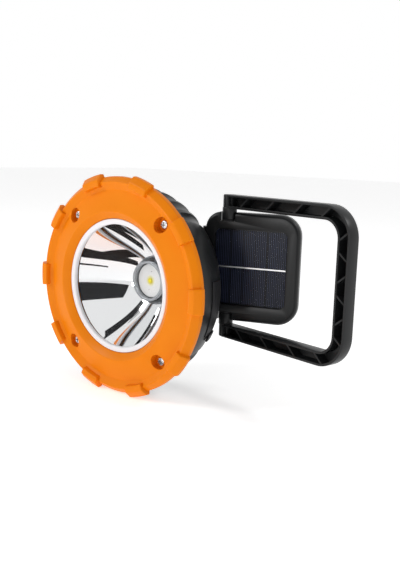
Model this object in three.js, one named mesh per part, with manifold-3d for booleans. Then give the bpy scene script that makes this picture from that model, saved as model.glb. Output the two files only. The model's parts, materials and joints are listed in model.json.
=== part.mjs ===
// A rechargeable solar work and garden light: a round lamp head, a solar panel on a hinge behind it,
// and a ribbed U-shaped handle that pivots on the panel.
// Millimetres and degrees. The beam points along -Y, the panel opens towards +X, and +Z is up.
// Parts of the head are drawn about the beam axis, with y = 0 near the front of the lamp.

import * as THREE from 'three';
import { mergeVertices } from 'three/addons/utils/BufferGeometryUtils.js';
import Module from 'manifold-3d';

const wasm = await Module();
wasm.setup();

// ---------------------------------------------------------------- driving dimensions

const FIT = 0.3; // gap between two pieces that touch
const BIG = 200; // longer than anything in the lamp

const WINDOW_RADIUS = 44.4;
const RIM_RADIUS = 71.5;
const BEZEL_REAR = 5.2;
const LUG = { count: 10, radius: 73.8, halfAngle: 6.3, front: -3.6 };
const BEZEL_SCREWS = { ringRadius: 58.6, angles: [48, 132, 228, 312], headRadius: 3, shankRadius: 1.4 };

const BODY_PROFILE = [[66.7, 6.5], [66.7, 10], [65.4, 22], [59.3, 36], [50.8, 46.4], [49.8, 47.1]];
const BODY_WALL = 4;
const BODY_BACK = 47.1;
const REAR_INNER = 42;
const FLUTE = { radius: 5.6, depth: 1.9, pitch: 9.5, front: 12 };
const FLUTED_ARCS = [[46.5, 155], [207, 330]]; // first flute and end of each fluted stretch
const PORT = { from: -24, to: 8, front: 20, rear: 36, skin: 0.5, depth: 1.2 };
const PORT_WINDOW = { y: [20.8, 31.2], z: [-11.3, -4.1], wall: 1.6 };
const BUTTON = { radius: 7, y: 27, outer: -66, inner: -58.2, padFace: -64.6, padRadius: 10.5 };

const REFLECTOR = { rim: 42.5, front: 6.2, neck: 14.3, apex: 36.63, fourFocal: 59.35, wall: 1.6 };
const LED_RADIUS = 11.6;
const LED_FACE = 33.6;
const CELL = { radius: 7, halfLength: 25, z: 48, y: 20 };

const HINGE = {
  x: 35.2,
  y: 52.4,
  z: 13.8,
  pinRadius: 1.5,
  forkRadius: 3.4,
  forkHalf: 9,
  radius: 4.2,
  reach: 26,
};
const PANEL_ANGLE = 19.4; // panel direction at rest, from +X towards +Y
const PANEL = {
  inner: -1.5,
  outer: 63.3,
  halfHeight: 36.3,
  half: 4.2,
  split: 1.5,
  outerCorner: 14,
  innerCorner: 11,
};
const CELL_WINDOW = { from: 5.5, to: 55, halfHeight: 25.5, corner: 4.5, lip: 1.2 };
const POCKET_STEP = 1.1; // how far the pocket behind the window reaches past its edge

const PIVOT_U = 14; // handle pivot, from the panel hinge
const HANDLE_ANGLE = -10.5; // handle direction at rest, from +X towards +Y
const HANDLE = {
  start: 0.5,
  reach: 105.4,
  halfHeight: 47.8,
  bar: 9,
  depth: 9,
  wall: 1.6,
  web: 1.5,
  corner: 19.5,
};
const BOSS = { radius: 4.8, end: 31.6, pinRadius: 1.9, pinFrom: 27.4, pinTo: 45.2 };
const NOTCH = { from: 8.6, to: 19.4, floor: 30.4 };
const ARM_RIBS = [18, 41, 64.5, 86.5];
const BAR_RIBS = [30.8, 18.5, 6.2, -6.2, -18.5, -30.8];

// ---------------------------------------------------------------- materials

const finish = (color, roughness, metalness = 0) =>
  new THREE.MeshStandardMaterial({ color, roughness, metalness });

const FINISHES = {
  orange: ['#f28a1e', 0.45],
  black: ['#26272a', 0.5],
  rubber: ['#1d1d1f', 0.8],
  whiteSilicone: ['#e9e9ec', 0.5],
  clear: ['#dfe8ee', 0.08],
  chrome: ['#e6e8ea', 0.08, 1],
  aluminium: ['#9a9da1', 0.4, 1],
  steel: ['#c9cccf', 0.3, 1],
  whiteBoard: ['#f1f1ee', 0.5],
  phosphor: ['#f2d732', 0.5],
  greenBoard: ['#1f5a3a', 0.5],
  cellWrap: ['#3b6ea8', 0.4],
  silicon: ['#1a1f33', 0.3],
  ribbon: ['#d5d6d8', 0.35, 1],
};

// ---------------------------------------------------------------- solids

const radians = THREE.MathUtils.degToRad;

// A closed geometry as a manifold solid, with its faces turned outwards.
function solid(geometry) {
  const bare = geometry.clone();
  bare.deleteAttribute('normal');
  bare.deleteAttribute('uv');
  const merged = mergeVertices(bare, 1e-4);
  const index = merged.index.array;
  const triangles = [];
  for (let i = 0; i < index.length; i += 3) {
    const [a, b, c] = [index[i], index[i + 1], index[i + 2]];
    if (a !== b && b !== c && c !== a) triangles.push(a, b, c);
  }
  const build = (triVerts) => new wasm.Manifold(new wasm.Mesh({
    numProp: 3,
    vertProperties: new Float32Array(merged.attributes.position.array),
    triVerts: new Uint32Array(triVerts),
  }));
  const made = build(triangles);
  return made.volume() > 0 ? made : build(triangles.reverse());
}

// The geometry of a finished solid.
function geometryOf(body) {
  const mesh = body.getMesh();
  const geometry = new THREE.BufferGeometry();
  geometry.setAttribute('position', new THREE.BufferAttribute(new Float32Array(mesh.vertProperties), 3));
  geometry.setIndex(new THREE.BufferAttribute(new Uint32Array(mesh.triVerts), 1));
  geometry.computeVertexNormals();
  return geometry;
}

const join = (first, ...rest) => rest.reduce((body, other) => body.add(other), first);
const cut = (first, ...rest) => rest.reduce((body, other) => body.subtract(other), first);

// A profile of [radius, y] points turned about the beam axis; it closes on itself or on the axis.
function turned(profile, segments) {
  const points = profile.map(([radius, y]) => new THREE.Vector2(radius, y));
  if (profile[0][0] > 0) points.push(points[0].clone());
  return solid(new THREE.LatheGeometry(points, segments));
}

// A solid disc about the beam axis.
const disc = (radius, front, rear, segments = 48) =>
  turned([[0, front], [radius, front], [radius, rear], [0, rear]], segments);

// A flat ring about the beam axis.
const ring = (inner, outer, front, rear, segments = 48) =>
  turned([[inner, front], [outer, front], [outer, rear], [inner, rear]], segments);

const box = ([x0, x1], [y0, y1], [z0, z1]) => solid(new THREE.BoxGeometry(x1 - x0, y1 - y0, z1 - z0)
  .translate((x0 + x1) / 2, (y0 + y1) / 2, (z0 + z1) / 2));

// A rod along one axis, from low to high, centred on the other two coordinates of `centre`.
function rod(axis, radius, low, high, centre, sides = 20) {
  const geometry = new THREE.CylinderGeometry(radius, radius, high - low, sides);
  if (axis === 'x') geometry.rotateZ(Math.PI / 2);
  if (axis === 'z') geometry.rotateX(Math.PI / 2);
  const middle = new THREE.Vector3(...centre);
  middle[axis] = (low + high) / 2;
  return solid(geometry.translate(middle.x, middle.y, middle.z));
}

// The point [x, z] at a radius and an angle from +X towards +Z.
const polar = (radius, angle) => [radius * Math.cos(radians(angle)), radius * Math.sin(radians(angle))];

// A wedge of the space round the beam axis, between two angles and two y values.
function wedge(from, to, front, rear) {
  const shape = new THREE.Shape([
    new THREE.Vector2(0, 0),
    new THREE.Vector2(...polar(BIG, from)),
    new THREE.Vector2(...polar(BIG, to)),
  ]);
  const geometry = new THREE.ExtrudeGeometry(shape, { depth: rear - front, bevelEnabled: false });
  return solid(geometry.rotateX(Math.PI / 2).translate(0, rear, 0));
}

// A rectangle with its own radius at the low-u corners and at the high-u corners.
function roundedShape(u0, u1, half, innerCorner, outerCorner) {
  const shape = new THREE.Shape();
  shape.absarc(u1 - outerCorner, half - outerCorner, outerCorner, Math.PI / 2, 0, true);
  shape.absarc(u1 - outerCorner, outerCorner - half, outerCorner, 0, -Math.PI / 2, true);
  shape.absarc(u0 + innerCorner, innerCorner - half, innerCorner, -Math.PI / 2, -Math.PI, true);
  shape.absarc(u0 + innerCorner, half - innerCorner, innerCorner, Math.PI, Math.PI / 2, true);
  shape.closePath();
  return shape;
}

// An upright plate: a shape drawn in X and Z, filled from `front` to `rear` along Y.
function plate(shape, front, rear, curveSegments = 6, bevel = 0) {
  const geometry = new THREE.ExtrudeGeometry(shape, {
    depth: rear - front - 2 * bevel,
    curveSegments,
    bevelEnabled: bevel > 0,
    bevelThickness: bevel,
    bevelSize: bevel,
    bevelOffset: -bevel,
    bevelSegments: 2,
  });
  return solid(geometry.rotateX(Math.PI / 2).translate(0, rear - bevel, 0));
}

// ---------------------------------------------------------------- the scene graph

const part = new THREE.Group();
const head = new THREE.Group();
const panel = new THREE.Group();
const handleGroup = new THREE.Group();
part.add(head);
head.add(panel);
panel.add(handleGroup);
panel.position.set(HINGE.x, HINGE.y, HINGE.z);
panel.rotation.z = radians(PANEL_ANGLE);
handleGroup.position.set(PIVOT_U, 0, 0);
handleGroup.rotation.z = radians(HANDLE_ANGLE - PANEL_ANGLE);

function add(group, name, body, finishName) {
  const mesh = new THREE.Mesh(geometryOf(body), finish(...FINISHES[finishName]));
  mesh.name = name;
  group.add(mesh);
}

// ---------------------------------------------------------------- bezel and its screws

// The bezel: a funnel down to the lens, a sloping face and a raised rim, moulded in one thickness.
const BEZEL_PROFILE = [
  [WINDOW_RADIUS, 0.6], [49, -3], [63, 1], [68, -2], [RIM_RADIUS, 1.6], [RIM_RADIUS, BEZEL_REAR],
  [69, BEZEL_REAR], [68.8, 4.2], [67.2, 1.6], [63, 3.9], [50, 0.8], [48.4, 3.6], [WINDOW_RADIUS, 3.6],
];
const LUG_PROFILE = [
  [65, -0.1], [65.8, LUG.front], [70, LUG.front], [LUG.radius, -0.2], [LUG.radius, 2.8],
  [71.4, 3.8], [70.2, 2.4], [67.8, -0.6],
];
const screwPlaces = BEZEL_SCREWS.angles.map((angle) => polar(BEZEL_SCREWS.ringRadius, angle));
const COUNTERBORE_FLOOR = 4.5;

let bezel = turned(BEZEL_PROFILE, 60);
const lugRing = turned(LUG_PROFILE, 60);
for (let i = 0; i < LUG.count; i += 1) {
  const middle = (360 / LUG.count) * i;
  bezel = bezel.add(lugRing.intersect(wedge(middle - LUG.halfAngle, middle + LUG.halfAngle, -10, 20)));
}
for (const [x, z] of screwPlaces) {
  bezel = bezel.add(rod('y', 6.2, 2.2, 6.2, [x, 0, z]));
  bezel = cut(bezel, rod('y', 5, -10, COUNTERBORE_FLOOR, [x, 0, z]), rod('y', 1.8, 0, 10, [x, 0, z], 12));
}
add(head, 'bezel', bezel, 'orange');

// A pan head over a shank, along Y, with the head towards `headSide` (-1 front, +1 rear).
function screw([x, z], headRadius, seat, height, shankRadius, length, headSide) {
  const span = (from, to) => [Math.min(from, to), Math.max(from, to)];
  const headRod = rod('y', headRadius, ...span(seat, seat + headSide * height), [x, 0, z], 12);
  const shank = rod('y', shankRadius, ...span(seat + headSide * 0.2, seat - headSide * length), [x, 0, z], 8);
  return headRod.add(shank);
}
screwPlaces.forEach((place, i) => {
  const { headRadius, shankRadius } = BEZEL_SCREWS;
  const body = screw(place, headRadius, COUNTERBORE_FLOOR - FIT, 1.9, shankRadius, 15, -1);
  add(head, `bezel_screw_${i + 1}`, body, 'steel');
});

// ---------------------------------------------------------------- lens, reflector and LED

add(head, 'lens_seal', ring(40.6, WINDOW_RADIUS - FIT, 0.8, 3.6, 40), 'whiteSilicone');
add(head, 'lens', disc(47.6, 3.9, 5.9, 40), 'clear');

const bowlDepth = (radius) => REFLECTOR.apex - radius ** 2 / REFLECTOR.fourFocal;
const bowlSteps = 6;
const bowlInner = [];
for (let i = 0; i <= bowlSteps; i += 1) {
  const radius = REFLECTOR.rim + (REFLECTOR.neck - REFLECTOR.rim) * (i / bowlSteps);
  bowlInner.push([radius, bowlDepth(radius)]);
}
const bowlOuter = bowlInner.map(([radius, y]) => [radius + REFLECTOR.wall, y + 0.6]).reverse();
const flange = [[47.5, bowlOuter.at(-1)[1] + 0.6], [47.5, REFLECTOR.front]];
add(head, 'reflector', turned([...bowlInner, ...bowlOuter.slice(0, -1), ...flange], 40), 'chrome');

add(head, 'led_collar', ring(LED_RADIUS + FIT, 14, 30.2, 36, 32), 'aluminium');
add(head, 'led_board', disc(LED_RADIUS, LED_FACE, 35.2, 32), 'whiteBoard');
add(head, 'led_emitter', rod('y', 1.8, LED_FACE - 1, LED_FACE - FIT, [0, 0, 0], 12), 'phosphor');
const heatSinkProfile = [[0, 35.5], [11.4, 35.5], [11.4, 36.3], [22, 36.3], [22, 38.8], [0, 38.8]];
add(head, 'heat_sink', turned(heatSinkProfile, 32), 'aluminium');

// ---------------------------------------------------------------- housing

const HOUSING_FRONT = BODY_PROFILE[0][1];
const bodyRadius = (y) => {
  const next = BODY_PROFILE.findIndex(([, at]) => at >= y);
  const [[r0, y0], [r1, y1]] = [BODY_PROFILE[Math.max(next - 1, 0)], BODY_PROFILE[next]];
  return y1 === y0 ? r1 : r0 + ((r1 - r0) * (y - y0)) / (y1 - y0);
};
const outside = turned([[0, HOUSING_FRONT], ...BODY_PROFILE, [0, BODY_BACK]], 48);
const inside = turned([
  [0, HOUSING_FRONT - 1], [BODY_PROFILE[0][0] - BODY_WALL, HOUSING_FRONT - 1],
  ...[10, 22, 36].map((y) => [bodyRadius(y) - BODY_WALL, y]), [50, REAR_INNER], [0, REAR_INNER],
], 36);

const COVER_RADIUS = 43.5;
const COVER_FRONT = 44.6;
const rearScrewPlaces = [45, 135, 225, 315].map((angle) => polar(38.9, angle));

let housing = outside.subtract(inside);
for (const [x, z] of screwPlaces) {
  housing = housing.add(rod('y', 3.6, HOUSING_FRONT, 38, [x, 0, z]).intersect(outside));
}
for (const [x, z] of rearScrewPlaces) housing = housing.add(rod('y', 3.2, 38, REAR_INNER + 1, [x, 0, z], 12));
// The rear opening, stepped for the rear cover.
housing = cut(housing, disc(34, 40, 50, 40), disc(COVER_RADIUS + FIT, COVER_FRONT - FIT, 50, 60));
for (const [x, z] of screwPlaces) housing = cut(housing, rod('y', 1.7, 0, 22, [x, 0, z], 12));
for (const [x, z] of rearScrewPlaces) housing = cut(housing, rod('y', 1.6, 30, 50, [x, 0, z], 12));

// Grip flutes: round hollows that follow the sloping side from behind the bezel to the back.
const fluteStations = [FLUTE.front, 22, 36, 50];
function flute(angle) {
  const centreRadius = (y) => (y > 36 ? 59.3 - (y - 36) * 0.825 : bodyRadius(y)) + FLUTE.radius - FLUTE.depth;
  const points = fluteStations.map((y) => {
    const [x, z] = polar(centreRadius(y), angle);
    return new THREE.Vector3(x, y, z);
  });
  const steps = points.slice(1).map((point, i) => {
    const from = points[i];
    const length = from.distanceTo(point);
    const geometry = new THREE.CylinderGeometry(FLUTE.radius, FLUTE.radius, length + 1.2, 8);
    const turn = new THREE.Quaternion().setFromUnitVectors(
      new THREE.Vector3(0, 1, 0),
      point.clone().sub(from).normalize(),
    );
    geometry.applyQuaternion(turn);
    const middle = from.clone().add(point).multiplyScalar(0.5);
    return solid(geometry.translate(middle.x, middle.y, middle.z));
  });
  return join(...steps);
}
for (const [from, to] of FLUTED_ARCS) {
  for (let angle = from; angle <= to; angle += FLUTE.pitch) housing = housing.subtract(flute(angle));
}

// A sector of a skin that follows the side of the housing, between two offsets from its surface.
function sideSkin(low, high, from, to, front, rear) {
  const stations = [front, ...BODY_PROFILE.map(([, y]) => y).filter((y) => y > front && y < rear), rear];
  const outer = stations.map((y) => [bodyRadius(y) + high, y]);
  const inner = stations.map((y) => [bodyRadius(y) + low, y]).reverse();
  return turned([...inner, ...outer], 120).intersect(wedge(from, to, front - 1, rear + 1));
}

// The charging port: a shallow recess for its cover and a window for the plug.
const widened = ([low, high]) => [low - PORT_WINDOW.wall, high + PORT_WINDOW.wall];
const tunnel = box([54.5, 64], widened(PORT_WINDOW.y), widened(PORT_WINDOW.z)).intersect(outside);
housing = cut(
  housing.add(tunnel),
  sideSkin(-PORT.depth - FIT, 4, PORT.from - FIT, PORT.to + FIT, PORT.front - FIT, PORT.rear - 0.01 + FIT),
  box([53, 70], PORT_WINDOW.y, PORT_WINDOW.z),
);

// The power button's round pad on the other side.
const buttonPlace = [0, BUTTON.y, 0];
housing = housing.add(rod('x', BUTTON.padRadius, BUTTON.padFace, -56, buttonPlace, 32));
housing = cut(housing, rod('x', BUTTON.radius + FIT, -80, -50, buttonPlace, 32));
add(head, 'housing', housing, 'black');

add(head, 'bezel_seal', ring(65, 66.5, 4.4, HOUSING_FRONT - FIT, 40), 'rubber');

const pull = sideSkin(FIT, 1.8, PORT.from - 4, PORT.from + 1, 24, 32);
const portSkin = sideSkin(-PORT.depth, PORT.skin, PORT.from, PORT.to, PORT.front, PORT.rear);
add(head, 'port_cover', join(portSkin, pull), 'rubber');
add(head, 'charge_socket', box([48, 54], [22, 30.5], [-10.5, -4.9]), 'steel');

add(head, 'power_button', rod('x', BUTTON.radius, BUTTON.outer, BUTTON.inner, buttonPlace, 32), 'rubber');
const switchBox = box([-54.5, -50.5], [24, 30], [-3, 3]);
const plunger = rod('x', 1.8, -56.7, -54, buttonPlace, 12);
add(head, 'switch_body', join(switchBox, plunger), 'black');

// ---------------------------------------------------------------- rear cover and the hinge fork

const standoffPlaces = [90, 210, 330].map((angle) => polar(18, angle));
const forkSpan = [HINGE.z - HINGE.forkHalf, HINGE.z + HINGE.forkHalf];
const forkWeb = box([HINGE.x - 3.4, HINGE.x + 4], [46, HINGE.y - 0.8], forkSpan);
const overhang = ring(COVER_RADIUS - 0.1, 60, 40, BODY_BACK + 0.4, 60);
const fork = rod('z', HINGE.forkRadius, ...forkSpan, [HINGE.x, HINGE.y, 0], 24);
const pinBore = (clearance) => rod('z', HINGE.pinRadius + clearance, -BIG, BIG, [HINGE.x, HINGE.y, 0], 12);
let rearCover = join(disc(COVER_RADIUS, COVER_FRONT, BODY_BACK, 60), cut(forkWeb, overhang), fork);
for (const [x, z] of standoffPlaces) {
  rearCover = rearCover.add(rod('y', 2.5, 39.1, COVER_FRONT + 1, [x, 0, z], 12));
}
for (const [x, z] of rearScrewPlaces) {
  rearCover = cut(rearCover, rod('y', 1.6, 40, 50, [x, 0, z], 12), rod('y', 2.9, 45.9, 60, [x, 0, z], 16));
}
add(head, 'rear_cover', cut(rearCover, pinBore(FIT)), 'black');
rearScrewPlaces.forEach((place, i) => {
  add(head, `rear_screw_${i + 1}`, screw(place, 2.5, 46.2, 1.1, 1.2, 7, 1), 'steel');
});
const pinReach = HINGE.reach - 2;
const hingePin = rod('z', HINGE.pinRadius, HINGE.z - pinReach, HINGE.z + pinReach, [HINGE.x, HINGE.y, 0], 12);
add(head, 'hinge_pin', hingePin, 'steel');

let board = disc(30, 39.4, 40.8, 32);
for (const [x, z] of standoffPlaces) board = cut(board, rod('y', 2.9, 30, 50, [x, 0, z], 12));
add(head, 'main_board', board, 'greenBoard');

for (const [name, side] of [['upper', 1], ['lower', -1]]) {
  const place = [0, CELL.y, side * CELL.z];
  const cell = rod('x', CELL.radius, -CELL.halfLength, CELL.halfLength, place, 24);
  add(head, `battery_cell_${name}`, cell, 'cellWrap');
  const [low, high] = side > 0 ? [43, 51] : [-51, -43];
  const hollow = rod('x', CELL.radius + FIT, -BIG, BIG, place, 24);
  const cradle = cut(box([-24, 24], [23, 30], [low, high]), hollow);
  add(head, `battery_cradle_${name}`, cradle, 'black');
}

// ---------------------------------------------------------------- solar panel, in its own frame

// Here x runs from the hinge to the panel's free edge, y through it to the back, and z up it.
const outline = roundedShape(
  PANEL.inner,
  PANEL.outer,
  PANEL.halfHeight,
  PANEL.innerCorner,
  PANEL.outerCorner,
);
const blank = plate(outline, -PANEL.half, PANEL.half, 5, 2);
const barrel = rod('z', HINGE.radius - 0.1, -HINGE.reach, HINGE.reach, [0, 0, 0], 24);
const slab = (from, to) => box([-20, 80], [from, to], [-50, 50]);
const knuckleGap = box([-10, 3.9], [-10, 10], [-HINGE.forkHalf - FIT, HINGE.forkHalf + FIT]);
const pinHole = rod('z', HINGE.pinRadius + FIT, -BIG, BIG, [0, 0, 0], 12);
// A rounded rectangle that follows the cell window, `grow` larger on every side.
const aroundWindow = (grow, corner) =>
  roundedShape(CELL_WINDOW.from - grow, CELL_WINDOW.to + grow, CELL_WINDOW.halfHeight + grow, corner, corner);
const lipRear = -PANEL.half + CELL_WINDOW.lip;
const notches = [1, -1].map((side) => {
  const [low, high] = side > 0 ? [NOTCH.floor, 60] : [-60, -NOTCH.floor];
  return box([NOTCH.from, NOTCH.to], [-10, 10], [low, high]);
});
const pivotHoles = [1, -1].map((side) => {
  const [low, high] = side > 0 ? [BOSS.pinFrom - FIT, 60] : [-60, FIT - BOSS.pinFrom];
  return rod('z', BOSS.pinRadius + FIT, low, high, [PIVOT_U, 0, 0], 12);
});
const panelScrewPlaces = [[24.5, 31.2], [24.5, -31.2], [58.2, 18], [58.2, -18]];

let frameShell = join(cut(blank, slab(PANEL.split, 20)), barrel);
frameShell = cut(
  frameShell,
  knuckleGap,
  pinHole,
  plate(aroundWindow(0, CELL_WINDOW.corner), -10, 10, 4),
  plate(aroundWindow(POCKET_STEP, 3), lipRear, 10, 3),
  ...notches,
  ...pivotHoles,
);
for (const [u, w] of panelScrewPlaces) frameShell = cut(frameShell, rod('y', 1.3, -1.8, 10, [u, 0, w], 10));
add(panel, 'panel_frame', frameShell, 'black');

const knuckleRoom = box([-20, HINGE.radius + 0.5], [-20, 20], [-60, 60]);
let backShell = cut(blank, slab(-20, PANEL.split + FIT), knuckleRoom);
backShell = cut(backShell, knuckleGap, ...notches, ...pivotHoles);
for (const [u, w] of panelScrewPlaces) {
  backShell = cut(backShell, rod('y', 1.3, 0, 10, [u, 0, w], 10), rod('y', 2.5, 3, 10, [u, 0, w], 12));
}
add(panel, 'panel_back', backShell, 'black');
// Their heads stand a little proud of the back, and the lamp rests on the outer two when it lies down.
panelScrewPlaces.forEach((place, i) => {
  add(panel, `panel_screw_${i + 1}`, screw(place, 2.2, 3.3, 1.2, 1, 4, 1), 'steel');
});

const laminate = (front, rear) => plate(aroundWindow(POCKET_STEP - FIT, 2.7), front, rear, 3);
const cellSpan = [CELL_WINDOW.from + 0.8, CELL_WINDOW.to - 0.8];
const cellHalf = CELL_WINDOW.halfHeight - 0.8;
const cellDepth = [-2.1, -1.8];
const ribbonHalf = 0.45;
add(panel, 'panel_cover_sheet', laminate(-2.7, -2.4), 'clear');
add(panel, 'solar_cell_upper', box(cellSpan, cellDepth, [ribbonHalf + FIT, cellHalf]), 'silicon');
add(panel, 'solar_cell_lower', box(cellSpan, cellDepth, [-cellHalf, -ribbonHalf - FIT]), 'silicon');
add(panel, 'bus_ribbon', box(cellSpan, cellDepth, [-ribbonHalf, ribbonHalf]), 'ribbon');
add(panel, 'solar_board', laminate(-1.5, 0), 'greenBoard');

// ---------------------------------------------------------------- handle, in its own frame

// Here x runs from the pivot to the grip, y through the bar to its closed side, and z up.
function uShape(start, reach, outer, inner, innerReach, corner, innerCorner) {
  const shape = new THREE.Shape();
  shape.moveTo(start, outer);
  shape.lineTo(reach - corner, outer);
  shape.absarc(reach - corner, outer - corner, corner, Math.PI / 2, 0, true);
  shape.absarc(reach - corner, corner - outer, corner, 0, -Math.PI / 2, true);
  shape.lineTo(start, -outer);
  shape.lineTo(start, -inner);
  shape.absarc(innerReach - innerCorner, innerCorner - inner, innerCorner, -Math.PI / 2, 0, false);
  shape.absarc(innerReach - innerCorner, inner - innerCorner, innerCorner, 0, Math.PI / 2, false);
  shape.lineTo(start, inner);
  shape.closePath();
  return shape;
}
const { wall, bar, halfHeight, reach, corner, start } = HANDLE;
const innerHalf = halfHeight - bar;
const innerReach = reach - bar;
const front = -HANDLE.depth / 2;
const webFace = HANDLE.depth / 2 - HANDLE.web;
const bowShape = uShape(start, reach, halfHeight, innerHalf, innerReach, corner, corner - bar);
const channelShape = uShape(
  start + 2 * wall,
  reach - wall,
  halfHeight - wall,
  innerHalf + wall,
  innerReach + wall,
  corner - wall,
  corner - bar + wall,
);

// A thin rib across the channel, centred at (x, z) and leaning by `angle` from the X direction.
function rib(x, z, angle) {
  const geometry = new THREE.BoxGeometry(16, webFace - front - 0.4 + 1, 1.1);
  geometry.rotateY(-radians(angle)).translate(x, (front + 0.4 + webFace + 1) / 2, z);
  return solid(geometry);
}
const channel = plate(channelShape, front - 5, webFace, 6);
const ribs = [];
for (const side of [1, -1]) {
  const middle = side * (halfHeight - bar / 2);
  for (const x of ARM_RIBS) ribs.push(rib(x, middle, side * 42));
}
BAR_RIBS.forEach((z, i) => ribs.push(rib(reach - bar / 2, z, i % 2 === 0 ? 38 : -38)));

const heelRadius = HANDLE.depth / 2 - 0.05; // the round end of each arm, about the pivot
let handle = cut(plate(bowShape, front, -front, 7), channel);
for (const body of ribs) handle = handle.add(body.intersect(channel));
for (const side of [1, -1]) {
  const order = (a, b) => (side > 0 ? [a, b] : [-b, -a]);
  handle = handle.add(rod('z', BOSS.radius, ...order(BOSS.end, innerHalf + 0.5), [0, 0, 0], 20));
  handle = handle.add(rod('z', heelRadius, ...order(innerHalf + 0.05, halfHeight - 0.05), [0, 0, 0], 24));
  handle = cut(handle, rod('z', BOSS.pinRadius + FIT, ...order(0, BOSS.pinTo + FIT), [0, 0, 0], 12));
}
add(handleGroup, 'handle', handle, 'black');
for (const [name, side] of [['upper', 1], ['lower', -1]]) {
  const order = (a, b) => (side > 0 ? [a, b] : [-b, -a]);
  const pin = rod('z', BOSS.pinRadius, ...order(BOSS.pinFrom, BOSS.pinTo), [0, 0, 0], 12);
  add(handleGroup, `pivot_pin_${name}`, pin, 'steel');
  const washerSpan = order(NOTCH.floor + FIT, BOSS.end - FIT);
  const washerBore = rod('z', BOSS.pinRadius + FIT, -BIG, BIG, [0, 0, 0], 12);
  const washer = cut(rod('z', 4.8, ...washerSpan, [0, 0, 0], 20), washerBore);
  add(handleGroup, `pivot_washer_${name}`, washer, 'rubber');
}

// ---------------------------------------------------------------- placing

// The origin is under the middle of the whole lamp, on the surface it stands on.
head.updateWorldMatrix(true, true);
const bounds = new THREE.Box3().setFromObject(head, true);
const centre = bounds.getCenter(new THREE.Vector3());
head.position.set(-centre.x, -centre.y, -bounds.min.z);

export default part;
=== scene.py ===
# %% [markdown]
# # A solar work light, modelled and finished
# The lamp is a round head with an orange bezel, a black fluted housing, a solar panel on a hinge
# behind it and a ribbed handle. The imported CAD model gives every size, place and joint, and this
# lesson builds the fine surfaces and the finishes around it.

import json
import math

import bmesh
import bpy
from mathutils import Matrix, Vector


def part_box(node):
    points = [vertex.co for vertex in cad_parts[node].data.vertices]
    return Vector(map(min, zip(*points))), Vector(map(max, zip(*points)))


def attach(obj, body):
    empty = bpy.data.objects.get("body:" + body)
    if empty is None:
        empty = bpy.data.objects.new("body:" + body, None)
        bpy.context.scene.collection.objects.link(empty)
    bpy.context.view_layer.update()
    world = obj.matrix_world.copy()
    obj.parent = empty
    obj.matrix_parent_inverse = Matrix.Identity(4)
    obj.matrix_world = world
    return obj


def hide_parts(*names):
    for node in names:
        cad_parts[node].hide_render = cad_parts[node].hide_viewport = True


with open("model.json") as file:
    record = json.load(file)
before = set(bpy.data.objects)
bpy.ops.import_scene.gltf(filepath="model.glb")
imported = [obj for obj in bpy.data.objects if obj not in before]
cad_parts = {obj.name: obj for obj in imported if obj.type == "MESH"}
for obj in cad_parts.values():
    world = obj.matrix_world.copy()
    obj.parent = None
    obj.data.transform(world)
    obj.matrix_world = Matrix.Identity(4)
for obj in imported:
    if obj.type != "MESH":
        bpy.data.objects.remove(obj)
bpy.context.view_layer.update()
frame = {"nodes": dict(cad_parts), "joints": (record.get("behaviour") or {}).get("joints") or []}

# %% [markdown]
# ## Places taken from the frame
# Every size below is in millimetres and goes through `MM`. The head is drawn about the beam axis,
# with its own y = 0 just in front of the lens. The panel and the handle are drawn flat, at their
# joint, and are then turned into place, as they would be on a bench.

# %% Sizes and places
MM = 0.001
LENS_FRONT = 3.9
lens_low, lens_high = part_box("lens")
HEAD = Vector((
    (lens_low.x + lens_high.x) / 2,
    lens_low.y - LENS_FRONT * MM,
    (lens_low.z + lens_high.z) / 2,
))
joints = {joint["name"]: joint for joint in frame["joints"]}
PANEL_HINGE = Vector(joints["panel_hinge"]["pos_m"])
HANDLE_PIVOT = Vector(joints["handle_pivot"]["pos_m"])
to_pivot = HANDLE_PIVOT - PANEL_HINGE
PANEL_TURN = math.atan2(to_pivot.y, to_pivot.x)
COPLANAR = math.radians(joints["handle_pivot"]["range_deg"][1])
HANDLE_TURN = PANEL_TURN - COPLANAR
print("panel at", round(math.degrees(PANEL_TURN), 1), "handle at", round(math.degrees(HANDLE_TURN), 1))


def in_head(radius, y, angle=0.0):
    """A point of the head: a radius, a depth and an angle in degrees from +X towards +Z."""
    turn = math.radians(angle)
    return HEAD + Vector((radius * math.cos(turn), y, radius * math.sin(turn))) * MM


# %% [markdown]
# ## The camera
# The lamp is seen from its right and a little from above. A long lens of 49 mm on a 36 mm sensor
# keeps the round bezel a calm ellipse. The camera is set first, so that each later step can be
# rendered and looked at on its own.

# %% Camera
CAMERA_FROM_HEAD = Vector((360.0, -351.26, 90.44)) * MM
LOOK_AROUND = 39.37
LOOK_DOWN = 9.96
ROLL = 1.81
FOCAL_LENGTH = 48.965
bpy.ops.object.select_all(action="DESELECT")
bpy.ops.object.camera_add(location=HEAD + CAMERA_FROM_HEAD)
camera = bpy.context.object
camera.name = "camera"
turn = Matrix.Rotation(math.radians(LOOK_AROUND), 4, "Z")
tilt = Matrix.Rotation(math.radians(90 - LOOK_DOWN), 4, "X")
roll = Matrix.Rotation(math.radians(ROLL), 4, "Z")
camera.matrix_world = Matrix.Translation(HEAD + CAMERA_FROM_HEAD) @ turn @ tilt @ roll
camera.data.lens = FOCAL_LENGTH
camera.data.sensor_width = 36
bpy.context.scene.camera = camera
print("camera", round(CAMERA_FROM_HEAD.length, 3), "m from the lens")

# %% [markdown]
# ## Modelling helpers
# Each helper is one habit of work at the bench: pick one piece, draw a wire by extruding a
# vertex, spin it, fill and extrude it, carve one piece with another, round its edges, and set it
# down in its place. Operators act on everything selected, so each helper clears the selection
# first.


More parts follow.
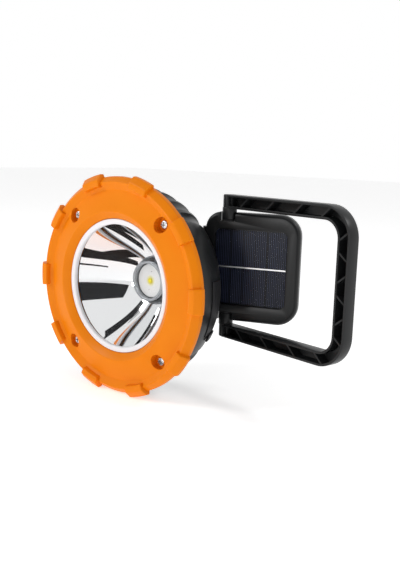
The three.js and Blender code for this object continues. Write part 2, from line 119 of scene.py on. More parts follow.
# %% Picking and drawing wires
def pick(piece):
    """Leaves only this piece selected and active, in object mode."""
    if bpy.context.object and bpy.context.object.mode != "OBJECT":
        bpy.ops.object.mode_set(mode="OBJECT")
    bpy.ops.object.select_all(action="DESELECT")
    bpy.context.view_layer.objects.active = piece
    piece.select_set(True)


def edit_all(piece):
    """Opens a piece in edit mode with everything in it selected."""
    pick(piece)
    bpy.ops.object.mode_set(mode="EDIT")
    bpy.ops.mesh.select_all(action="SELECT")


def named(name):
    """Names the object that an operator has just added, and its mesh, and returns it."""
    piece = bpy.context.object
    piece.name = name
    piece.data.name = name
    return piece


def wire(name, points, closed=True):
    """A wire through points: a plane is merged to one vertex, which is extruded step by step."""
    bpy.ops.object.select_all(action="DESELECT")
    bpy.ops.mesh.primitive_plane_add(size=MM, location=(0, 0, 0))
    piece = named(name)
    bpy.ops.object.mode_set(mode="EDIT")
    bpy.ops.mesh.merge(type="CENTER")
    bpy.ops.transform.translate(value=points[0])
    path = [*points, points[0]] if closed else points
    for start, end in zip(path, path[1:]):
        bpy.ops.mesh.extrude_region_move(TRANSFORM_OT_translate={"value": end - start})
    bpy.ops.mesh.select_all(action="SELECT")
    bpy.ops.mesh.remove_doubles(threshold=0.001 * MM)
    bpy.ops.object.mode_set(mode="OBJECT")
    return piece


# %% [markdown]
# Most of the head is turned work, so a section is drawn once and spun about the beam axis. The
# panel and the handle are flat mouldings, so their outline is filled and extruded. A sector that
# stops short of a full turn is closed at both ends.


# %% Spinning and extruding
def spun(name, profile, steps=160, start=0.0, sweep=360.0, closed=True):
    """A profile of [radius, y] points turned about the beam axis, from one angle through a sweep."""
    piece = wire(name, [in_head(radius, y, start) for radius, y in profile], closed)
    edit_all(piece)
    bpy.ops.mesh.spin(steps=steps, angle=math.radians(sweep), center=HEAD, axis=(0, 1, 0))
    bpy.ops.mesh.select_all(action="SELECT")
    bpy.ops.mesh.remove_doubles(threshold=0.002 * MM)
    if sweep < 360:
        bpy.ops.mesh.select_all(action="SELECT")
        bpy.ops.mesh.fill_holes(sides=0)
    bpy.ops.mesh.select_all(action="SELECT")
    bpy.ops.mesh.normals_make_consistent(inside=False)
    bpy.ops.object.mode_set(mode="OBJECT")
    return piece


def slab(name, outline, along):
    """A closed outline filled with a face and extruded along a vector."""
    piece = wire(name, outline)
    edit_all(piece)
    bpy.ops.mesh.edge_face_add()
    bpy.ops.mesh.extrude_region_move(TRANSFORM_OT_translate={"value": along})
    bpy.ops.mesh.select_all(action="SELECT")
    bpy.ops.mesh.normals_make_consistent(inside=False)
    bpy.ops.object.mode_set(mode="OBJECT")
    return piece


def block(name, low, high):
    """A box between two corners, in metres."""
    bpy.ops.object.select_all(action="DESELECT")
    middle = (Vector(low) + Vector(high)) / 2
    bpy.ops.mesh.primitive_cube_add(size=1, location=middle, scale=Vector(high) - Vector(low))
    piece = named(name)
    bpy.ops.object.transform_apply(location=True, rotation=True, scale=True)
    return piece


def head_block(name, low, high):
    """A box between two corners of the head, in millimetres from the beam axis."""
    return block(name, HEAD + Vector(low) * MM, HEAD + Vector(high) * MM)


AXIS_TURNS = {"x": (0, math.pi / 2, 0), "y": (math.pi / 2, 0, 0), "z": (0, 0, 0)}


def rod(name, axis, radius, middle, length, sides=48):
    """A round bar along one axis."""
    bpy.ops.object.select_all(action="DESELECT")
    bpy.ops.mesh.primitive_cylinder_add(
        vertices=sides, radius=radius, depth=length, location=middle, rotation=AXIS_TURNS[axis]
    )
    piece = named(name)
    bpy.ops.object.transform_apply(location=True, rotation=True, scale=True)
    return piece


# %% [markdown]
# Holes, windows and bosses are made as a toolmaker makes them, with one solid taken from another
# or joined to it. No moulded edge is truly sharp, so every piece is rounded after it is cut, and a
# rounded edge is what catches a thin line of light.


# %% Carving, joining and rounding
def carve(piece, tool, operation="DIFFERENCE"):
    """Cuts, joins or keeps only what is shared, and then throws the tool away."""
    pick(piece)
    modifier = piece.modifiers.new("carve", "BOOLEAN")
    modifier.object = tool
    modifier.operation = operation
    modifier.solver = "MANIFOLD"
    bpy.ops.object.modifier_apply(modifier=modifier.name)
    bpy.data.objects.remove(tool)
    return piece


def weld(piece, other):
    """Joins another piece on, as one moulding."""
    return carve(piece, other, "UNION")


def rounded_edges(piece, width, segments=2, angle=30.0):
    """Rounds every edge sharper than an angle, as a mould does."""
    pick(piece)
    modifier = piece.modifiers.new("edges", "BEVEL")
    modifier.width = width * MM
    modifier.segments = segments
    modifier.limit_method = "ANGLE"
    modifier.angle_limit = math.radians(angle)
    modifier.use_clamp_overlap = True
    bpy.ops.object.modifier_apply(modifier=modifier.name)
    return piece


def round_where(piece, chosen, width, segments=3):
    """Rounds only the edges whose two ends pass a test of their place."""
    pick(piece)
    bpy.ops.object.mode_set(mode="EDIT")
    bpy.ops.mesh.select_mode(type="EDGE")
    bpy.ops.mesh.select_all(action="DESELECT")
    mesh = bmesh.from_edit_mesh(piece.data)
    count = 0
    for edge in mesh.edges:
        if all(chosen(vertex.co / MM) for vertex in edge.verts):
            edge.select_set(True)
            count += 1
    bmesh.update_edit_mesh(piece.data)
    if count:
        bpy.ops.mesh.bevel(offset=width * MM, segments=segments, affect="EDGES", clamp_overlap=True)
    bpy.ops.mesh.select_mode(type="VERT")
    bpy.ops.object.mode_set(mode="OBJECT")
    return piece


def copy_of(piece, name):
    """A second piece with a mesh of its own."""
    made = piece.copy()
    made.data = piece.data.copy()
    made.name = name
    made.data.name = name
    bpy.context.collection.objects.link(made)
    return made


def turned_copy(piece, name, degrees, centre, axis="Y"):
    """A copy turned about an axis through a centre, with the turn applied to its mesh."""
    made = copy_of(piece, name)
    made.data.transform(
        Matrix.Translation(centre)
        @ Matrix.Rotation(math.radians(degrees), 4, axis)
        @ Matrix.Translation(-centre)
    )
    return made


# %% [markdown]
# A finished piece gets its surface, the body that it rides on, and the CAD nodes that it stands for. A
# piece with no node of its own, such as a pad of solder, only rides.


# %% Setting a finished piece down
def set_down(piece, body, finish, slot, *nodes):
    """Gives a finished piece its surface, its body and its CAD nodes; its slot argument is not used."""
    pick(piece)
    bpy.ops.object.shade_smooth_by_angle(angle=math.radians(32))
    piece.data.materials.clear()
    piece.data.materials.append(finish)
    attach(piece, body)
    if nodes:
        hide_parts(*nodes)
    print(f"{piece.name}: {len(piece.data.polygons)} faces on {body}")


# %% [markdown]
# ## Finishes
# Each finish starts from what the real material is. Colours are written as sRGB hex values, the way
# they are read off a sample card, and one function turns them to the linear values that the
# renderer needs. Patterns read Object coordinates, which are metres here, so a scale of
# 1 / (grain in metres) puts one grain in that many metres.


# %% Colour and node helpers
def linear(hex_colour):
    """An sRGB hex colour as linear RGBA."""
    channels = [int(hex_colour[i:i + 2], 16) / 255 for i in (1, 3, 5)]
    return (*[c / 12.92 if c <= 0.04045 else ((c + 0.055) / 1.055) ** 2.4 for c in channels], 1.0)


def add(tree, kind, inputs=None, **settings):
    """Adds a node, sets its settings, and gives each input a value or a link."""
    made = tree.nodes.new(kind)
    for name, value in settings.items():
        setattr(made, name, value)
    for name, value in (inputs or {}).items():
        if isinstance(value, bpy.types.NodeSocket):
            tree.links.new(value, made.inputs[name])
        else:
            made.inputs[name].default_value = value
    return made


def new_surface(name):
    """An empty material, its node tree, and a Principled shader wired to the output."""
    material = bpy.data.materials.new(name)
    material.use_nodes = True
    tree = material.node_tree
    tree.nodes.clear()
    shader = add(tree, "ShaderNodeBsdfPrincipled")
    add(tree, "ShaderNodeOutputMaterial", {"Surface": shader.outputs["BSDF"]})
    return material, tree, shader


# %% [markdown]
# Moulded plastic is never quite even. The mould is spark-eroded, which leaves a fine grain in the
# skin, and the melt flows, which leaves broad, weak patches of tone and of gloss. The same
# function makes every moulded finish here, from its colour, its gloss and the size of its grain.


# %% Moulded plastics and rubbers
def moulded(name, colour, shade, roughness, grain, depth, patch=14.0, ior=1.53, shine=0.25):
    """A moulded skin: grain and patch are in millimetres, and depth is the height of the grain."""
    material, tree, shader = new_surface(name)
    place = add(tree, "ShaderNodeTexCoord").outputs["Object"]
    patches = add(tree, "ShaderNodeTexNoise", {"Vector": place, "Scale": 1 / (patch * MM), "Detail": 3})
    tone = add(tree, "ShaderNodeMix", {"Factor": patches.outputs["Fac"]}, data_type="RGBA")
    tone.inputs[6].default_value = linear(shade)
    tone.inputs[7].default_value = linear(colour)
    gloss = add(tree, "ShaderNodeMapRange", {"Value": patches.outputs["Fac"]})
    gloss.inputs["To Min"].default_value = roughness - 0.05
    gloss.inputs["To Max"].default_value = roughness + 0.06
    skin = add(tree, "ShaderNodeTexNoise", {"Vector": place, "Scale": 1 / (grain * MM), "Detail": 2})
    bump = add(tree, "ShaderNodeBump", {"Height": skin.outputs["Fac"], "Strength": 0.5})
    bump.inputs["Distance"].default_value = depth * MM
    tree.links.new(tone.outputs[2], shader.inputs["Base Color"])
    tree.links.new(gloss.outputs["Result"], shader.inputs["Roughness"])
    tree.links.new(bump.outputs["Normal"], shader.inputs["Normal"])
    shader.inputs["IOR"].default_value = ior
    shader.inputs["Specular IOR Level"].default_value = shine
    return material


ORANGE_ABS = moulded("orange moulded ABS", "#EC850C", "#E67C06", 0.36, 0.55, 0.02, shine=0.1)
BLACK_ABS = moulded("black moulded ABS", "#1B1C1D", "#161718", 0.34, 0.5, 0.035)
BLACK_RUBBER = moulded("black moulded rubber", "#1D1D1F", "#18181A", 0.5, 0.7, 0.03, ior=1.5)
# The white finish for the ring round the lens is a painted reflection: it stands for the reflector's
# mirrored flange, painted the white of the room that it mirrors.
WHITE_PAINTED_REFLECTION = moulded("flat white, painted reflection", "#F0F0F2", "#E6E6EA", 0.42, 0.6, 0.01, ior=1.43)
GREEN_MASK = moulded("green solder mask", "#1F6A3C", "#18552F", 0.35, 0.5, 0.01)
BLACK_MASK = moulded("black solder mask", "#15161A", "#101115", 0.3, 0.5, 0.01)
BLUE_SLEEVE = moulded("blue PVC shrink sleeve", "#2F6CB3", "#285E9F", 0.3, 3.0, 0.05)
print("moulded finishes", [made.name for made in (ORANGE_ABS, BLACK_ABS, BLACK_RUBBER, WHITE_PAINTED_REFLECTION)])

# %% [markdown]
# Metals keep their default IOR. What tells them apart is their colour and what was done to them:
# the reflector is ABS with a vacuum-deposited skin of aluminium and mirrors the room, the LED
# collar and the heat sink are turned, so fine rings follow the tool, and the screws are
# zinc-plated, a little soft and uneven.


# %% Metals
def metal(name, colour, roughness, spread=0.04, patch=3.0):
    """A metal whose gloss varies a little over patches of a size in millimetres."""
    material, tree, shader = new_surface(name)
    place = add(tree, "ShaderNodeTexCoord").outputs["Object"]
    patches = add(tree, "ShaderNodeTexNoise", {"Vector": place, "Scale": 1 / (patch * MM), "Detail": 2})
    gloss = add(tree, "ShaderNodeMapRange", {"Value": patches.outputs["Fac"]})
    gloss.inputs["To Min"].default_value = max(roughness - spread, 0.01)
    gloss.inputs["To Max"].default_value = roughness + spread
    tree.links.new(gloss.outputs["Result"], shader.inputs["Roughness"])
    shader.inputs["Base Color"].default_value = linear(colour)
    shader.inputs["Metallic"].default_value = 1.0
    return material, tree, shader, place


METALLISED_ABS = metal("vacuum-metallised ABS", "#F3F4F5", 0.03, 0.02, 8.0)[0]
ZINC_PLATE = metal("zinc-plated steel", "#D5D6D8", 0.26, 0.08, 0.8)[0]
NICKEL_PLATE = metal("nickel-plated steel", "#C9C7C2", 0.24, 0.05, 1.5)[0]
TINNED_COPPER = metal("tinned copper ribbon", "#F4F5F6", 0.45, 0.12, 1.2)[0]

# %% [markdown]
# A lathe tool leaves one ring at each turn. The Wave texture draws rings about the Y axis of the
# beam, and a shallow bump lets them catch the light.

# %% Turned aluminium
TOOL_PITCH = 0.5
TURNED_ALUMINIUM, tree, shader, place = metal("turned aluminium", "#A9ACB0", 0.3, 0.05, 2.0)
from_axis = add(tree, "ShaderNodeMapping", {"Vector": place, "Location": tuple(-HEAD)})
rings = add(tree, "ShaderNodeTexWave", {"Vector": from_axis.outputs["Vector"]}, wave_type="RINGS")
rings.rings_direction = "Y"
rings.inputs["Scale"].default_value = 0.3 / (TOOL_PITCH * MM)
bump = add(tree, "ShaderNodeBump", {"Height": rings.outputs["Fac"], "Strength": 0.4})
bump.inputs["Distance"].default_value = 0.01 * MM
tree.links.new(bump.outputs["Normal"], shader.inputs["Normal"])
print("turned rings", TOOL_PITCH, "mm apart")

# %% [markdown]
# The lens is 2 mm of clear polycarbonate and the panel has a clear sheet over its cells. Both are flat
# and thin, so they bend nothing. A low Alpha lets the eye through and keeps the gloss, which is a
# lighter job than true glass.


# %% Clear sheets
def clear(name, colour, alpha, roughness, shine=0.5):
    """A thin clear sheet: alpha is how much of its own colour hides what is behind it."""
    material, tree, shader = new_surface(name)
    place = add(tree, "ShaderNodeTexCoord").outputs["Object"]
    haze = add(tree, "ShaderNodeTexNoise", {"Vector": place, "Scale": 1 / (20 * MM)})
    gloss = add(tree, "ShaderNodeMapRange", {"Value": haze.outputs["Fac"]})
    gloss.inputs["To Min"].default_value = roughness
    gloss.inputs["To Max"].default_value = roughness + 0.03
    tree.links.new(gloss.outputs["Result"], shader.inputs["Roughness"])
    shader.inputs["Base Color"].default_value = linear(colour)
    shader.inputs["Alpha"].default_value = alpha
    shader.inputs["IOR"].default_value = 1.58
    shader.inputs["Specular IOR Level"].default_value = shine
    return material


CLEAR_LENS = clear("clear polycarbonate", "#202224", 0.04, 0.02)
CLEAR_SHEET = clear("clear PET sheet", "#101216", 0.03, 0.1, shine=0.15)
print("clear sheets", CLEAR_LENS.name, CLEAR_SHEET.name)

# %% [markdown]
# A solar cell is a dark blue wafer with thin silver fingers printed across it. The panel is cut
# into narrow strips, so darker lines part it every few millimetres, and each strip has a tone of
# its own. The pattern runs along the panel, which stands at an angle, so a Mapping node turns the
# coordinates to the panel's own.

# %% Solar cell
FINGER_PITCH = 1.25
STRIP_PITCH = 8.2
SOLAR_CELL, tree, shader = new_surface("printed silicon cell")
place = add(tree, "ShaderNodeTexCoord").outputs["Object"]
centred = add(tree, "ShaderNodeMapping", {"Vector": place, "Location": tuple(-PANEL_HINGE)})
along = add(tree, "ShaderNodeMapping", {"Vector": centred.outputs["Vector"]})
along.inputs["Rotation"].default_value = (0, 0, -PANEL_TURN)
across = add(tree, "ShaderNodeSeparateXYZ", {"Vector": along.outputs["Vector"]}).outputs["X"]


def share_of(tree, value, pitch):
    """How far a place is through the repeat it lies in, from 0 to 1."""
    steps = add(tree, "ShaderNodeMath", {0: value, 1: 1 / (pitch * MM)}, operation="MULTIPLY").outputs[0]
    return add(tree, "ShaderNodeMath", {0: steps}, operation="FRACT").outputs[0], steps


FINGER_SHARE = 0.3
GAP_SHARE = 0.07
finger_place, fingers = share_of(tree, across, FINGER_PITCH)
strip_place, _ = share_of(tree, across, STRIP_PITCH)
finger_line = add(tree, "ShaderNodeMath", {0: finger_place, 1: FINGER_SHARE}, operation="LESS_THAN")
strip_gap = add(tree, "ShaderNodeMath", {0: strip_place, 1: GAP_SHARE}, operation="LESS_THAN")
which_finger = add(tree, "ShaderNodeMath", {0: fingers}, operation="FLOOR").outputs[0]
own_tone = add(tree, "ShaderNodeTexWhiteNoise", {"W": which_finger}, noise_dimensions="1D")
silicon = add(tree, "ShaderNodeMix", {"Factor": own_tone.outputs["Value"]}, data_type="RGBA")
silicon.inputs[6].default_value = linear("#080A12")
silicon.inputs[7].default_value = linear("#10141F")
printed = add(tree, "ShaderNodeMix", {"Factor": finger_line.outputs[0]}, data_type="RGBA")
printed.inputs[7].default_value = linear("#343A52")
tree.links.new(silicon.outputs[2], printed.inputs[6])
parted = add(tree, "ShaderNodeMix", {"Factor": strip_gap.outputs[0]}, data_type="RGBA")
parted.inputs[7].default_value = linear("#06070B")
tree.links.new(printed.outputs[2], parted.inputs[6])
tree.links.new(parted.outputs[2], shader.inputs["Base Color"])
gloss = add(tree, "ShaderNodeMapRange", {"Value": own_tone.outputs["Value"]})
gloss.inputs["To Min"].default_value = 0.3
gloss.inputs["To Max"].default_value = 0.42
tree.links.new(gloss.outputs["Result"], shader.inputs["Roughness"])
shader.inputs["Specular IOR Level"].default_value = 0.2
print("fingers every", FINGER_PITCH, "mm, strips every", STRIP_PITCH, "mm")

# %% [markdown]
# The LED is a yellow dot of phosphor under a small clear dome, on a white board. Round the dot the board
# is painted yellow, fading to its own white: a painted glow of the phosphor's colour. Both fade with the
# distance from the beam axis, so one function makes both.

# %% Phosphor and the board round it
EMITTER_RADIUS = 1.8


def fading(name, middle, edge, start, end, roughness):
    """A surface that fades from one colour to another between two distances from the beam axis."""
    material, tree, shader = new_surface(name)
    place = add(tree, "ShaderNodeTexCoord").outputs["Object"]
    flat = add(tree, "ShaderNodeVectorMath", {0: place, 1: (1, 0, 1)}, operation="MULTIPLY").outputs[0]
    axis = (HEAD.x, 0, HEAD.z)
    centred = add(tree, "ShaderNodeVectorMath", {0: flat, 1: axis}, operation="SUBTRACT")
    distance = add(tree, "ShaderNodeVectorMath", {0: centred.outputs[0]}, operation="LENGTH")
    fade = add(tree, "ShaderNodeMapRange", {"Value": distance.outputs["Value"]})
    fade.inputs["From Min"].default_value = start * MM
    fade.inputs["From Max"].default_value = end * MM
    colour = add(tree, "ShaderNodeMix", {"Factor": fade.outputs["Result"]}, data_type="RGBA")
    colour.inputs[6].default_value = linear(middle)
    colour.inputs[7].default_value = linear(edge)
    tree.links.new(colour.outputs[2], shader.inputs["Base Color"])
    shader.inputs["Roughness"].default_value = roughness
    return material


PHOSPHOR = fading("LED phosphor", "#F2E010", "#F1E44A", 0.6, EMITTER_RADIUS, 0.3)
# The board's yellow round the emitter is painted glow, and it fades to the board's own white by 4.2 mm.
WHITE_MASK_PAINTED_GLOW = fading("white solder mask", "#F1E679", "#F6F6F5", EMITTER_RADIUS, 4.2, 0.4)
print("fading finishes", PHOSPHOR.name, WHITE_MASK_PAINTED_GLOW.name)

# %% [markdown]
# ## The bezel
# The bezel is one orange moulding: a funnel that leads in to the lens, a face that slopes gently
# back, a raised rim, and a side wall. It is a turned shape, so its section is drawn once as a wire
# and spun about the beam. The edges are rounded afterwards, all at once, as a mould rounds them.

# %% Turned bezel
WINDOW = 44.4
BEZEL_SECTION = [
    (WINDOW, 0.6), (49, -3), (63, 1), (68, -2), (71.5, 1.6), (71.5, 5.2), (69, 5.2),
    (68.8, 4.2), (67.2, 1.6), (63, 3.9), (50, 0.8), (48.4, 3.6), (WINDOW, 3.6),
]
bezel = spun("bezel_moulding", BEZEL_SECTION, steps=180)
rounded_edges(bezel, 0.7, segments=3, angle=20)
print("bezel", len(bezel.data.polygons), "faces")

# %% [markdown]
# Ten lugs stand round the rim, 36 degrees apart. One lug is the same kind of section spun through
# a few degrees and closed at both ends. It is rounded while it is still alone, because edges that
# a join leaves are short and uneven, and then it is copied round and joined.

# %% Lugs
LUG_COUNT = 10
LUG_ARC = 12.6
LUG_SECTION = [
    (65, -0.1), (65.8, -3.6), (70, -3.6), (73.8, -0.2),
    (73.8, 2.8), (71.4, 3.8), (70.2, 2.4), (67.8, -0.6),
]
lug = spun("lug", LUG_SECTION, steps=10, start=-LUG_ARC / 2, sweep=LUG_ARC)
rounded_edges(lug, 0.45, segments=3, angle=35)
for i in range(1, LUG_COUNT):
    weld(bezel, turned_copy(lug, "lug_copy", 360 / LUG_COUNT * i, HEAD))
weld(bezel, lug)
print("bezel with", LUG_COUNT, "lugs:", len(bezel.data.polygons), "faces")

# %% [markdown]
# Four screws sit deep in the face, each in a round counterbore with a boss behind it. The boss is
# joined first and the bore is cut through both.

# %% Counterbores
SCREW_RING = 58.6
SCREW_ANGLES = (48, 132, 228, 312)
SEAT = 4.5
COUNTERBORE = 5.0
SCREW_BORE = 1.8
for angle in SCREW_ANGLES:
    weld(bezel, rod("boss", "y", 6.2 * MM, in_head(SCREW_RING, 4.1, angle), 4.1 * MM, 40))
    sunk = in_head(SCREW_RING, SEAT - 10, angle)
    carve(bezel, rod("counterbore", "y", COUNTERBORE * MM, sunk, 20 * MM, 48))
    carve(bezel, rod("bore", "y", SCREW_BORE * MM, in_head(SCREW_RING, 5, angle), 12 * MM, 24))
set_down(bezel, "head", ORANGE_ABS, "orange_plastic", "bezel")

# %% [markdown]
# ## Screws
# A pan-head screw has a low domed head with a cross cut into it. The head is a cylinder whose
# front edge is beveled wide, which is what makes the dome, and the cross is two tapered blades
# carved out of it. One screw is modelled facing -Y at the origin and copied to each place.


# %% One cross-head screw, and its copies
def cross_screw(name, head_radius, height, shank_radius, length):
    """A screw on the Y axis with its head in front of y = 0."""
    screw = rod(name, "y", head_radius * MM, (0, -height / 2 * MM, 0), height * MM, 40)
    front = -height + 0.01
    round_where(screw, lambda at: at.y < front, height * 0.6, segments=5)
    blade = head_radius * 0.62
    for size in ((blade, 0.42), (0.42, blade)):
        reach = Vector((size[0], height * 0.75, size[1])) * MM
        middle = Vector((0, -height, 0)) * MM
        carve(screw, block("blade", middle - reach, middle + reach))
    middle = (0, (length / 2 - 0.1) * MM, 0)
    weld(screw, rod("shank", "y", shank_radius * MM, middle, (length + 0.2) * MM, 20))
    return screw


def place_screws(pattern, name, places, body, facing=Matrix.Identity(4)):
    """Copies a screw to each place, and lets each copy stand for its own CAD node."""
    for i, place in enumerate(places, start=1):
        made = copy_of(pattern, f"{name}_{i}_cross_head")
        made.data.transform(Matrix.Translation(place) @ facing)
        set_down(made, body, ZINC_PLATE, "steel", f"{name}_{i}")
    bpy.data.objects.remove(pattern)


HEAD_GAP = 0.3
bezel_screw = cross_screw("bezel_screw", 3.0, 1.9, 1.4, 15)
bezel_places = [in_head(SCREW_RING, SEAT - HEAD_GAP, angle) for angle in SCREW_ANGLES]
place_screws(bezel_screw, "bezel_screw", bezel_places, "head")

# %% [markdown]
# ## Lens, white ring and reflector
# The white ring round the lens is a plain ring. It stands for the reflector's mirrored flange, which
# mirrors the bright room as white: it is painted flat white, a painted reflection, and is no mirror. The
# lens is a flat disc with its edge eased so that it doesn't cut the ring. Both are turned shapes.

# %% Lens and the white ring
WHITE_RING_SECTION = [(40.6, 1.4), (41.4, 0.8), (44.1, 0.8), (44.1, 3.6), (40.6, 3.6)]
LENS_SECTION = [(0, 3.9), (47.2, 3.9), (47.6, 4.3), (47.6, 5.5), (47.2, 5.9), (0, 5.9)]
seal = spun("white_lens_ring", WHITE_RING_SECTION, steps=160)
rounded_edges(seal, 0.25, segments=2)
set_down(seal, "head", WHITE_PAINTED_REFLECTION, "white_silicone", "lens_seal")

lens = spun("lens_disc", LENS_SECTION, closed=False)
set_down(lens, "head", CLEAR_LENS, "clear_plastic", "lens")

# %% [markdown]
# The reflector is a deep parabola: the light of an LED at its focus leaves as a beam. Its section
# is that curve, worked out point by point from the focal length, with the outside of the wall
# behind it and a flange at the rim that the lens rests on.

# %% Reflector
BOWL_RIM = 42.5
NECK = 14.3
APEX = 36.63
FOUR_FOCAL = 59.35
BOWL_STEPS = 30
bowl = []
for i in range(BOWL_STEPS + 1):
    radius = BOWL_RIM + (NECK - BOWL_RIM) * i / BOWL_STEPS
    bowl.append((radius, APEX - radius ** 2 / FOUR_FOCAL))
outside = [(radius + 1.5, y + 0.5) for radius, y in reversed(bowl)]
reflector = spun("reflector_bowl", [*bowl, *outside[:-1], (47.3, 7.3), (47.3, 6.25)], steps=200)
set_down(reflector, "head", METALLISED_ABS, "bright_reflector", "reflector")

# %% [markdown]
# ## The LED
# A turned collar stands round the LED's board at the bottom of the bowl. The board is a white
# disc with two small solder pads, and the yellow emitter is a low dome in its middle.

# %% LED collar, board, pads and emitter
COLLAR_SECTION = [(11.95, 30.2), (13.95, 30.2), (13.95, 36), (11.95, 36)]
BOARD_SECTION = [(0, 33.6), (11.3, 33.6), (11.6, 33.9), (11.6, 35.2), (0, 35.2)]
PAD_SECTION = [(0, 33.3), (0.28, 33.35), (0.4, 33.5), (0.42, 33.55), (0, 33.55)]
collar = spun("led_collar_ring", COLLAR_SECTION, steps=120)
rounded_edges(collar, 0.5, segments=3)
set_down(collar, "head", TURNED_ALUMINIUM, "aluminium", "led_collar")

led_board = spun("led_board_disc", BOARD_SECTION, closed=False, steps=96)
set_down(led_board, "head", WHITE_MASK_PAINTED_GLOW, "white_board", "led_board")

DOME_STEPS = 8
dome = [(0, 33.3)]
for i in range(DOME_STEPS + 1):
    rise = math.radians(90 * i / DOME_STEPS)
    dome.append((EMITTER_RADIUS * math.cos(rise), 33.2 - 0.6 * math.sin(rise)))
emitter = spun("led_emitter_dome", dome, closed=False, steps=48)
set_down(emitter, "head", PHOSPHOR, "phosphor", "led_emitter")

for i, angle in enumerate((80, 260)):
    pad = spun(f"solder_pad_{i + 1}", PAD_SECTION, closed=False, steps=16)
    pad.data.transform(Matrix.Translation(in_head(6.6, 0, angle) - HEAD))
    set_down(pad, "head", ZINC_PLATE, "steel")

# %% [markdown]
# ## The housing
# The black body is a cup that narrows towards its back. Its side is one smooth curve, so the
# section is drawn from that curve on the outside and again, a wall's thickness in, on the inside.
# The rear opening is stepped, and the step is where the rear cover sits.

# %% Housing cup
BODY_FRONT = 10.0
BODY_END = 46.4
SIDE_RADIUS = 66.7
SIDE_FALL = 15.9
SIDE_POWER = 2.256
HOUSING_WALL = 4.0


def side(y, offset=0.0):
    """The radius of the housing's side at a depth, moved out by an offset."""
    share = max(y - BODY_FRONT, 0.0) / (BODY_END - BODY_FRONT)
    return SIDE_RADIUS - SIDE_FALL * share ** SIDE_POWER + offset


OUTER_STEPS = [6.5, 10, 14, 18, 22, 26, 30, 33, 36, 39, 42, 44.5, BODY_END]
INNER_STEPS = [38, 33, 28, 22, 16, 10, 6.5]
cup = [(side(y), y) for y in OUTER_STEPS]
cup += [(49.8, 47.1), (43.8, 47.1), (43.8, 44.3), (34, 44.3), (34, 42), (50, 42)]
cup += [(side(y, -HOUSING_WALL), y) for y in INNER_STEPS]
housing = spun("housing_moulding", cup, steps=200)
print("housing cup", len(housing.data.polygons), "faces")

# %% [markdown]
# Grip flutes run down the side, wide at the bezel and narrower towards the back, where the body is
# smaller. A flute cutter is a round bar that bends with the side: a circle is stood across the
# first station, and is extruded, moved and shrunk from station to station. One cutter is made, and
# it is turned round the beam in steps. Two stretches of the side stay smooth for the two ports.

# %% Flute cutter
FLUTE_STATIONS = [12.6, 17, 22, 27, 32, 36, 40, 44, 49]
FLUTE_RADIUS = 5.6
FLUTE_DEPTH = 1.9
FLUTE_PITCH = 9.5
FLUTED_STRETCHES = ((46.5, 155), (207, 330))


def flute_cutter():
    """A bar along the side at angle 0, with a round front end."""
    def centre(y):
        return side(min(y, BODY_END)) - max(y - BODY_END, 0) * 0.85 + FLUTE_RADIUS - FLUTE_DEPTH
    bpy.ops.object.select_all(action="DESELECT")
    start = in_head(centre(FLUTE_STATIONS[0]), FLUTE_STATIONS[0])
    bpy.ops.mesh.primitive_circle_add(
        vertices=24, radius=FLUTE_RADIUS * MM, fill_type="NGON", location=start, rotation=AXIS_TURNS["y"]
    )
    cutter = named("flute_cutter")
    bpy.ops.object.transform_apply(location=True, rotation=True, scale=True)
    edit_all(cutter)
    for low, high in zip(FLUTE_STATIONS, FLUTE_STATIONS[1:]):
        step = in_head(centre(high), high) - in_head(centre(low), low)
        bpy.ops.mesh.extrude_region_move(TRANSFORM_OT_translate={"value": step})
    bpy.ops.mesh.select_all(action="SELECT")
    bpy.ops.mesh.normals_make_consistent(inside=False)
    bpy.ops.object.mode_set(mode="OBJECT")
    first = start.y / MM + 0.01
    return round_where(cutter, lambda at: at.y < first, 1.7, segments=4)


cutter = flute_cutter()
for first, last in FLUTED_STRETCHES:
    angle = first
    while angle <= last:
        carve(housing, turned_copy(cutter, "flute", -angle, HEAD))
        angle += FLUTE_PITCH
bpy.data.objects.remove(cutter)
print("fluted housing", len(housing.data.polygons), "faces")

# %% [markdown]
# On the smooth side that faces the eye, a shallow recess takes the rubber port cover, and a
# rectangular window behind it takes the plug. On the other side a round pad carries the power
# button. Each is the shape of its tool: a sector of the side spun a few degrees, a box, a rod.

# %% Port recess, window and button pad
PORT_FROM, PORT_TO = -24.0, 8.0
PORT_FRONT, PORT_REAR = 20.0, 36.0


def side_sector(name, low, high, start, end, front, rear, stations=9):
    """A sector of skin that follows the side between two offsets from its surface."""
    depths = [front + (rear - front) * i / (stations - 1) for i in range(stations)]
    profile = [(side(y, high), y) for y in depths] + [(side(y, low), y) for y in reversed(depths)]
    steps = max(round((end - start) * 1.5), 4)
    return spun(name, profile, steps=steps, start=start, sweep=end - start)


PORT_GAP = 0.3
recess_turn = (PORT_FROM - PORT_GAP, PORT_TO + PORT_GAP)
recess_depth = (PORT_FRONT - PORT_GAP, PORT_REAR + PORT_GAP)
weld(housing, head_block("tunnel", (54.5, 19.2, -12.9), (61, 32.8, -2.5)))
carve(housing, side_sector("recess", -1.5, 4, *recess_turn, *recess_depth))
carve(housing, head_block("plug_way", (53, 20.8, -11.3), (70, 31.2, -4.1)))

BUTTON_DEPTH = 27.0
BUTTON_HOLE = 7.3
pad = rod("button_pad", "x", 10.5 * MM, in_head(60.3, BUTTON_DEPTH, 180), 8.6 * MM, 64)
pad_face = HEAD.x / MM - 64.5
round_where(pad, lambda at: at.x < pad_face, 0.6, segments=3)
weld(housing, pad)
button_hole = rod("button_hole", "x", BUTTON_HOLE * MM, in_head(65, BUTTON_DEPTH, 180), 30 * MM, 64)
carve(housing, button_hole)

# %% [markdown]
# A long boss behind each bezel screw takes its thread, and four short bores in the rear step take
# the rear screws.

